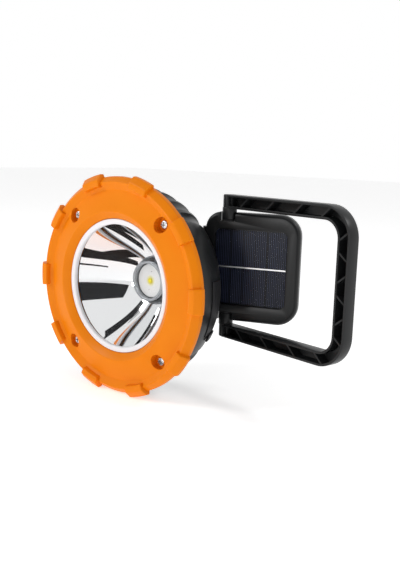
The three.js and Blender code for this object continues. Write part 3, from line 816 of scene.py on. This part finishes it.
# %% Screw bosses inside and the bores for the rear screws
REAR_SCREW_RING = 38.9
REAR_SCREW_ANGLES = (45, 135, 225, 315)
REAR_BORE = 1.6
for angle in SCREW_ANGLES:
    weld(housing, rod("boss", "y", 3.6 * MM, in_head(SCREW_RING, 16, angle), 19 * MM, 32))
    carve(housing, rod("bore", "y", 1.7 * MM, in_head(SCREW_RING, 12, angle), 20 * MM, 24))
for angle in REAR_SCREW_ANGLES:
    carve(housing, rod("bore", "y", REAR_BORE * MM, in_head(REAR_SCREW_RING, 42, angle), 10 * MM, 24))
rounded_edges(housing, 0.3, segments=2, angle=40)
set_down(housing, "head", BLACK_ABS, "black_plastic", "housing")

# %% [markdown]
# ## Port cover, button and rear cover
# The port cover is a flap of rubber that lies in its recess and shows as two fine steps. A pull tab
# at its lower end gives a nail something to lift. The button is a rubber cap with a soft edge.

# %% Port cover and power button
TAB_REACH = 4
cover = side_sector("port_cover_flap", -1.2, 0.5, PORT_FROM, PORT_TO, PORT_FRONT, PORT_REAR)
rounded_edges(cover, 0.35, segments=3, angle=40)
tab = side_sector("pull_tab", 0.3, 1.75, PORT_FROM - TAB_REACH, PORT_FROM + 1, 24, 32, stations=5)
rounded_edges(tab, 0.4, segments=3, angle=40)
weld(cover, tab)
set_down(cover, "port_cover", BLACK_RUBBER, "black_rubber", "port_cover")

button = rod("power_button_cap", "x", 7 * MM, in_head(62.1, BUTTON_DEPTH, 180), 7.8 * MM, 96)
outer_end = HEAD.x / MM - 65.9
round_where(button, lambda at: at.x < outer_end, 1.0, segments=5)
edit_all(button)
bpy.ops.mesh.select_all(action="DESELECT")
mesh = bmesh.from_edit_mesh(button.data)
mesh.faces.ensure_lookup_table()
cap = max(mesh.faces, key=lambda face: -face.calc_center_median().x)
cap.select_set(True)
bmesh.update_edit_mesh(button.data)
bpy.ops.mesh.inset(thickness=1.6 * MM, depth=0)
bpy.ops.mesh.inset(thickness=0.7 * MM, depth=-0.5 * MM)
bpy.ops.object.mode_set(mode="OBJECT")
set_down(button, "power_button", BLACK_RUBBER, "black_rubber", "power_button")

# %% [markdown]
# The rear cover is a disc with a fork moulded on. The panel's barrel sits on both sides of the
# fork and one steel pin runs through all three. Its screws are sunk into small counterbores.

# %% Rear cover with the fork
FORK_X, FORK_Y, FORK_Z = 35.2, 52.4, 13.8
FORK_HALF = 9.0
FORK_RADIUS = 3.4
PIN_BORE = 1.8
COVER_SECTION = [(0, 44.6), (43.4, 44.6), (43.5, 44.8), (43.5, 46.6), (43, 47.1), (0, 47.1)]
FREE_SPACE = [(0, 40), (43.4, 40), (43.4, 47.5), (60, 47.5), (60, 60), (0, 60)]
GROOVE_SECTION = [(26.4, 46.6), (27.6, 46.6), (27.6, 48), (26.4, 48)]
rear_cover = spun("rear_cover_moulding", COVER_SECTION, closed=False, steps=180)
web_low = (FORK_X - FORK_RADIUS, 46, FORK_Z - FORK_HALF)
web_high = (FORK_X + 4, 51.6, FORK_Z + FORK_HALF)
web = head_block("fork_web", web_low, web_high)
carve(web, spun("inside_the_rim", FREE_SPACE, closed=False, steps=96), "INTERSECT")
pin_line = HEAD + Vector((FORK_X, FORK_Y, FORK_Z)) * MM
weld(web, rod("fork_eye", "z", FORK_RADIUS * MM, pin_line, 2 * FORK_HALF * MM, 48))
rounded_edges(web, 0.5, segments=3, angle=40)
weld(rear_cover, web)
carve(rear_cover, spun("groove", GROOVE_SECTION, steps=120))
carve(rear_cover, rod("pin_bore", "z", PIN_BORE * MM, pin_line, 60 * MM, 32))
for angle in (90, 210, 330):
    weld(rear_cover, rod("standoff", "y", 2.5 * MM, in_head(18, 42.35, angle), 6.5 * MM, 24))
for angle in REAR_SCREW_ANGLES:
    bored, sunk = (in_head(REAR_SCREW_RING, y, angle) for y in (45, 50.9))
    carve(rear_cover, rod("bore", "y", REAR_BORE * MM, bored, 10 * MM, 24))
    carve(rear_cover, rod("counterbore", "y", 2.9 * MM, sunk, 10 * MM, 32))
set_down(rear_cover, "head", BLACK_ABS, "black_plastic", "rear_cover")

facing_back = Matrix.Rotation(math.pi, 4, "Z")
rear_screw = cross_screw("rear_screw", 2.5, 1.1, 1.2, 7)
rear_places = [in_head(REAR_SCREW_RING, 46.2, angle) for angle in REAR_SCREW_ANGLES]
place_screws(rear_screw, "rear_screw", rear_places, "head", facing_back)

# %% [markdown]
# ## The panel
# The panel is drawn flat, with its hinge on the Z axis: X runs to its free edge, Y goes through it
# to the back, and Z goes up it. Its outlines have round corners, and every corner is worked out
# from its radius.


# %% Drawing outlines with round corners
def corner(u, w, radius, start, end, v, steps=10):
    """Points of a round corner about (u, w), in the plane at depth v, from one angle to another."""
    angles = [math.radians(start + (end - start) * i / steps) for i in range(steps + 1)]
    return [Vector((u + radius * math.cos(a), v, w + radius * math.sin(a))) * MM for a in angles]


def round_box(u0, u1, half, inner, outer, v):
    """A rectangle with its own corner radius at the low-u end and at the high-u end."""
    return [
        *corner(u1 - outer, half - outer, outer, 90, 0, v),
        *corner(u1 - outer, outer - half, outer, 0, -90, v),
        *corner(u0 + inner, inner - half, inner, -90, -180, v),
        *corner(u0 + inner, half - inner, inner, 180, 90, v),
    ]


def through(v):
    """A vector of a length in millimetres through the panel or the handle."""
    return Vector((0, v, 0)) * MM


def put_at(piece, joint_place, turn):
    """Moves a piece that was drawn flat to its joint and turns it to the rest pose."""
    piece.data.transform(Matrix.Translation(joint_place) @ Matrix.Rotation(turn, 4, "Z"))
    return piece


# %% [markdown]
# Two shells meet at a fine seam. The front shell is the deep one, with a soft front edge, a barrel
# for the hinge pin, a window for the cells and a pocket behind the window for the laminate.

# %% Front shell
PANEL_SIZE = (-1.5, 63.3, 36.3, 11, 14)
HALF_DEPTH = 4.2
SPLIT = 1.5
WINDOW_FROM, WINDOW_TO, WINDOW_HALF = 5.5, 55.0, 25.5
PIVOT_U = 14.0
PIVOT_HOLE = 2.2
PANEL_SCREWS = ((24.5, 31.2), (24.5, -31.2), (58.2, 18), (58.2, -18))
PANEL_BORE = 1.3


def mm_block(name, low, high):
    """A box between two corners in millimetres, about the origin."""
    return block(name, Vector(low) * MM, Vector(high) * MM)


def cut_hinge_and_pivots(shell):
    """Cuts what both shells share: the gap for the fork, the arm notches and the pivot holes."""
    carve(shell, mm_block("knuckle_gap", (-10, -10, -9.3), (3.9, 10, 9.3)))
    for side_sign in (1, -1):
        low, high = sorted((30.4 * side_sign, 60 * side_sign))
        carve(shell, mm_block("notch", (8.6, -10, low), (19.4, 10, high)))
        middle = Vector((PIVOT_U, 0, 43.6 * side_sign)) * MM
        carve(shell, rod("pivot_hole", "z", PIVOT_HOLE * MM, middle, 33 * MM, 24))


front_outline = round_box(*PANEL_SIZE, -HALF_DEPTH)
frame_shell = slab("panel_front_shell", front_outline, through(HALF_DEPTH + SPLIT))
front_face = -HALF_DEPTH + 0.01
round_where(frame_shell, lambda at: at.y < front_face, 2.6, segments=5)
weld(frame_shell, rod("barrel", "z", 4.1 * MM, (0, 0, 0), 52 * MM, 64))
window = round_box(WINDOW_FROM, WINDOW_TO, WINDOW_HALF, 4.5, 4.5, -10)
carve(frame_shell, slab("window_cutter", window, through(20)))
pocket = round_box(WINDOW_FROM - 1.1, WINDOW_TO + 1.1, WINDOW_HALF + 1.1, 3, 3, -3)
carve(frame_shell, slab("pocket_cutter", pocket, through(13)))
cut_hinge_and_pivots(frame_shell)
carve(frame_shell, rod("pin_hole", "z", PIN_BORE * MM, (0, 0, 0), 60 * MM, 32))
for u, w in PANEL_SCREWS:
    carve(frame_shell, rod("bore", "y", PANEL_BORE * MM, Vector((u, 4.1, w)) * MM, 11.8 * MM, 20))
rounded_edges(frame_shell, 0.3, segments=2, angle=50)
put_at(frame_shell, PANEL_HINGE, PANEL_TURN)
set_down(frame_shell, "panel", BLACK_ABS, "black_plastic", "panel_frame")

# %% [markdown]
# The back shell is the lid. It closes on the front shell with a seam of 0.3 mm, is a hair shorter
# at its free edge, and has a shallow recess. Four screws stand in its counterbores.

# %% Back shell and its screws
BACK_SIZE = (-1.5, 63.2, 36.3, 11, 14)
SEAM = 0.3
SCREW_FLOOR = 3.3
back_outline = round_box(*BACK_SIZE, SPLIT + SEAM)
back_shell = slab("panel_back_shell", back_outline, through(HALF_DEPTH - SPLIT - SEAM))
back_face = HALF_DEPTH - 0.01
round_where(back_shell, lambda at: at.y > back_face, 2.3, segments=4)
carve(back_shell, mm_block("barrel_gap", (-20, -20, -60), (4.7, 20, 60)))
cut_hinge_and_pivots(back_shell)
recess = round_box(14, 55, 26, 4, 4, HALF_DEPTH - 0.4)
carve(back_shell, slab("shallow_recess", recess, through(2)))
for u, w in PANEL_SCREWS:
    carve(back_shell, rod("bore", "y", PANEL_BORE * MM, Vector((u, 5, w)) * MM, 10 * MM, 20))
    carve(back_shell, rod("counterbore", "y", 2.5 * MM, Vector((u, 6.5, w)) * MM, 7 * MM, 32))
rounded_edges(back_shell, 0.25, segments=2, angle=50)
put_at(back_shell, PANEL_HINGE, PANEL_TURN)
set_down(back_shell, "panel", BLACK_ABS, "black_plastic", "panel_back")

panel_screw = cross_screw("panel_screw", 2.2, 1.2, 1.0, 4)
panel_turn = Matrix.Rotation(PANEL_TURN, 4, "Z")
panel_places = [PANEL_HINGE + panel_turn @ (Vector((u, SCREW_FLOOR, w)) * MM) for u, w in PANEL_SCREWS]
place_screws(panel_screw, "panel_screw", panel_places, "panel", panel_turn @ facing_back)

# %% [markdown]
# A tinned ribbon joins the two rows of cells. It is soldered by hand, so it is never dead
# straight and its width wanders a little: a thin strip is subdivided along its length and its
# points are pushed about by a few hundredths of a millimetre.

# %% Bus ribbon
ribbon = mm_block("bus_ribbon_strip", (6.3, -2.1, -0.42), (54.2, -1.85, 0.42))
edit_all(ribbon)
bpy.ops.mesh.subdivide(number_cuts=30)
bpy.ops.mesh.remove_doubles(threshold=0.001 * MM)
bpy.ops.object.mode_set(mode="OBJECT")
for vertex in ribbon.data.vertices:
    u = vertex.co.x / MM
    wander = 0.03 * math.sin(u * 0.9) + 0.02 * math.sin(u * 2.3 + 1)
    vertex.co.z += wander * MM * (1 if vertex.co.z > 0 else -0.6)
put_at(ribbon, PANEL_HINGE, PANEL_TURN)
set_down(ribbon, "panel", TINNED_COPPER, "ribbon", "bus_ribbon")

# %% [markdown]
# ## The handle
# The handle is a U-shaped bow, moulded as an open channel with slanting ribs across it. It is one
# outline with a smaller outline cut into it. The ribs are what the cutter leaves standing: thin
# blocks are carved out of the cutter first, and the cutter is then used on the bow.

# %% Bow and channel
REACH, HALF_HEIGHT, BAR, CORNER = 105.4, 47.8, 9.0, 19.5
RIM_WALL = 1.6
BOW_HALF = 4.5
WEB_FACE = 3.0
START = 0.5


def bow_outline(start, reach, outer, inner, inner_reach, radius, inner_radius, v):
    """A U lying on its side: out along the top, round the bar, and back along the bottom."""
    return [
        Vector((start, v, outer)) * MM,
        *corner(reach - radius, outer - radius, radius, 90, 0, v, 16),
        *corner(reach - radius, radius - outer, radius, 0, -90, v, 16),
        Vector((start, v, -outer)) * MM,
        Vector((start, v, -inner)) * MM,
        *corner(inner_reach - inner_radius, inner_radius - inner, inner_radius, -90, 0, v, 12),
        *corner(inner_reach - inner_radius, inner - inner_radius, inner_radius, 0, 90, v, 12),
        Vector((start, v, inner)) * MM,
    ]


INNER_HALF = HALF_HEIGHT - BAR
INNER_REACH = REACH - BAR
INNER_CORNER = CORNER - BAR
handle = slab("handle_moulding", bow_outline(
    START, REACH, HALF_HEIGHT, INNER_HALF, INNER_REACH, CORNER, INNER_CORNER, -BOW_HALF,
), through(2 * BOW_HALF))
closed_face = BOW_HALF - 0.01
round_where(handle, lambda at: at.y > closed_face, 1.6, segments=4)
open_face = -BOW_HALF + 0.01
round_where(handle, lambda at: at.y < open_face, 0.4, segments=2)

channel = slab("channel_cutter", bow_outline(
    START + 2 * RIM_WALL, REACH - RIM_WALL, HALF_HEIGHT - RIM_WALL, INNER_HALF + RIM_WALL,
    INNER_REACH + RIM_WALL, CORNER - RIM_WALL, INNER_CORNER + RIM_WALL, -9.5,
), through(9.5 + WEB_FACE))
print("bow", len(handle.data.polygons), "faces, channel", len(channel.data.polygons))

# %% [markdown]
# Slanting ribs stiffen the channel. They lean one way along the upper arm and the other way along
# the lower one, and they zigzag down the grip.


# %% Ribs, which are left standing in the channel
def rib(u, w, lean):
    """A thin block across the channel, leaning from the X direction."""
    made = mm_block("rib", (-8, -4.1, -0.55), (8, 4, 0.55))
    turn = Matrix.Rotation(-math.radians(lean), 4, "Y")
    made.data.transform(Matrix.Translation(Vector((u, 0, w)) * MM) @ turn)
    return made


ARM_LEAN = 42
GRIP_LEAN = 38
for u in (18, 41, 64.5, 86.5):
    for side_sign in (1, -1):
        carve(channel, rib(u, side_sign * (HALF_HEIGHT - BAR / 2), side_sign * ARM_LEAN))
for i, w in enumerate((30.8, 18.5, 6.2, -6.2, -18.5, -30.8)):
    carve(channel, rib(REACH - BAR / 2, w, GRIP_LEAN if i % 2 == 0 else -GRIP_LEAN))
carve(handle, channel)
rounded_edges(handle, 0.2, segments=2, angle=50)
print("ribbed handle", len(handle.data.polygons), "faces")

# %% [markdown]
# Each arm ends in a round heel about the pivot, and a smaller boss reaches in from it to the panel.
# A hole for the pivot pin runs through both.

# %% Round heels and pivot bosses
for side_sign in (1, -1):
    heel = rod("heel", "z", 4.45 * MM, Vector((0, 0, side_sign * 43.3)) * MM, 8.9 * MM, 64)
    rounded_edges(heel, 0.7, segments=3, angle=40)
    weld(handle, heel)
    boss = rod("pivot_boss", "z", 4.8 * MM, Vector((0, 0, side_sign * 35.45)) * MM, 7.7 * MM, 64)
    rounded_edges(boss, 0.3, segments=2, angle=40)
    weld(handle, boss)
    middle = Vector((0, 0, side_sign * 22.75)) * MM
    carve(handle, rod("pin_hole", "z", PIVOT_HOLE * MM, middle, 45.5 * MM, 24))
put_at(handle, HANDLE_PIVOT, HANDLE_TURN)
set_down(handle, "handle", BLACK_ABS, "black_plastic", "handle")

# %% [markdown]
# ## Finishes for the pieces that the frame already shows
# The boards, cells, pins and washers inside keep their CAD shape, which is their real shape. Only
# their surface is set here, by name.

# %% Finishes on CAD nodes
CAD_FINISHES = {
    "heat_sink": TURNED_ALUMINIUM, "bezel_seal": BLACK_RUBBER, "charge_socket": NICKEL_PLATE,
    "switch_body": BLACK_ABS, "hinge_pin": NICKEL_PLATE, "main_board": GREEN_MASK,
    "battery_cell_upper": BLUE_SLEEVE, "battery_cell_lower": BLUE_SLEEVE,
    "battery_cradle_upper": BLACK_ABS, "battery_cradle_lower": BLACK_ABS,
    "panel_cover_sheet": CLEAR_SHEET, "solar_cell_upper": SOLAR_CELL, "solar_cell_lower": SOLAR_CELL,
    "solar_board": BLACK_MASK, "pivot_pin_upper": NICKEL_PLATE, "pivot_pin_lower": NICKEL_PLATE,
    "pivot_washer_upper": BLACK_RUBBER, "pivot_washer_lower": BLACK_RUBBER,
}
for name, finish in CAD_FINISHES.items():
    node = frame["nodes"][name]
    for material_slot in node.material_slots:
        material_slot.link = "OBJECT"
        material_slot.material = finish
print("finished", len(CAD_FINISHES), "CAD nodes")

# %% [markdown]
# ## The studio
# The lamp is shown on a pale floor in a bright room, as a catalogue shows it. Large soft lights
# stand on the left and above, so that the orange face is even and the black side has one long
# highlight. Dark cards, which the camera can't see, give the mirror something to draw.

# %% Floor, world and lights
bpy.ops.object.select_all(action="DESELECT")
bpy.ops.mesh.primitive_plane_add(size=8, location=(0, 0, 0))
floor = named("floor")
floor_surface, tree, shader = new_surface("pale floor")
shader.inputs["Base Color"].default_value = linear("#FAFAFA")
shader.inputs["Roughness"].default_value = 0.9
shader.inputs["Emission Color"].default_value = (1, 1, 1, 1)
shader.inputs["Emission Strength"].default_value = 0.5
floor.data.materials.append(floor_surface)

world = bpy.data.worlds.new("bright room")
bpy.context.scene.world = world
world.use_nodes = True
ROOM_LIGHT = 0.4
tree = world.node_tree
path = add(tree, "ShaderNodeLightPath").outputs
rays = {0: path["Is Camera Ray"], 1: path["Is Glossy Ray"]}
seen = add(tree, "ShaderNodeMath", rays, operation="MAXIMUM")
strength = add(tree, "ShaderNodeMapRange", {"Value": seen.outputs[0], "To Min": ROOM_LIGHT})
tree.links.new(strength.outputs["Result"], tree.nodes["Background"].inputs["Strength"])
tree.nodes["Background"].inputs["Color"].default_value = (1, 1, 1, 1)
bpy.context.scene.view_settings.view_transform = "Standard"


def soft_light(name, place, size, watts):
    """A square soft light that faces the head."""
    bpy.ops.object.select_all(action="DESELECT")
    at = HEAD + Vector(place)
    facing = (HEAD - at).to_track_quat("-Z", "Y").to_euler()
    bpy.ops.object.light_add(type="AREA", location=at, rotation=facing)
    light = bpy.context.object
    light.name = name
    light.data.size = size
    light.data.energy = watts
    print(name, "light", watts, "W")


soft_light("key", (-0.7, -0.9, 0.8), 0.4, 6)
soft_light("rim", (0.9, 0.4, 0.9), 0.3, 4)
soft_light("bowl", (0.2, -1.2, 0.1), 0.12, 2)

# %% [markdown]
# A mirror is only as good as what it mirrors. The bowl shows the room as long wedges that run to
# the LED, so a few dark cards stand where those wedges look. Each is seen by glossy rays alone: it
# shades nothing, and the camera looks straight through it.

# %% Dark cards for the mirror
card_surface, tree, shader = new_surface("dark card")
shader.inputs["Base Color"].default_value = linear("#1A1A1C")
shader.inputs["Roughness"].default_value = 1.0


def dark_card(name, azimuth, height, width, tall, lean=0.0, away=800.0):
    """A card in a direction from the head: angles in degrees, azimuth from -Y towards +X."""
    across, up = math.radians(azimuth), math.radians(height)
    way = Vector((math.sin(across) * math.cos(up), -math.cos(across) * math.cos(up), math.sin(up)))
    bpy.ops.object.select_all(action="DESELECT")
    facing = way.to_track_quat("Z", "Y").to_matrix() @ Matrix.Rotation(math.radians(lean), 3, "Z")
    spot = HEAD + way * away * MM
    bpy.ops.mesh.primitive_plane_add(size=1, location=spot, rotation=facing.to_euler())
    card = named(name)
    card.scale = [2 * away * MM * math.tan(math.radians(angle / 2)) for angle in (width, tall)] + [1]
    card.data.materials.append(card_surface)
    card.visible_camera = False
    card.visible_diffuse = False
    card.visible_shadow = False
    card.visible_transmission = False
    print(name, "at", azimuth, height)


dark_card("card_wide", 42, 15, 46, 27, lean=-12)
dark_card("card_strip", -30, 52, 12, 38)
dark_card("card_line_1", -41, 40, 1.6, 30)
dark_card("card_line_2", -46, 42, 1.2, 30)
# The three low cards are painted shade: they stand for the lamp's own shade on the floor below and in
# front of it, where the bowl mirrors the floor.
dark_card("card_floor_shade_thin", 54, -35, 26, 3, away=110)
dark_card("card_floor_shade_1", 20, -58, 60, 14, away=78)
dark_card("card_floor_shade_2", -20, -66, 50, 10, away=74)
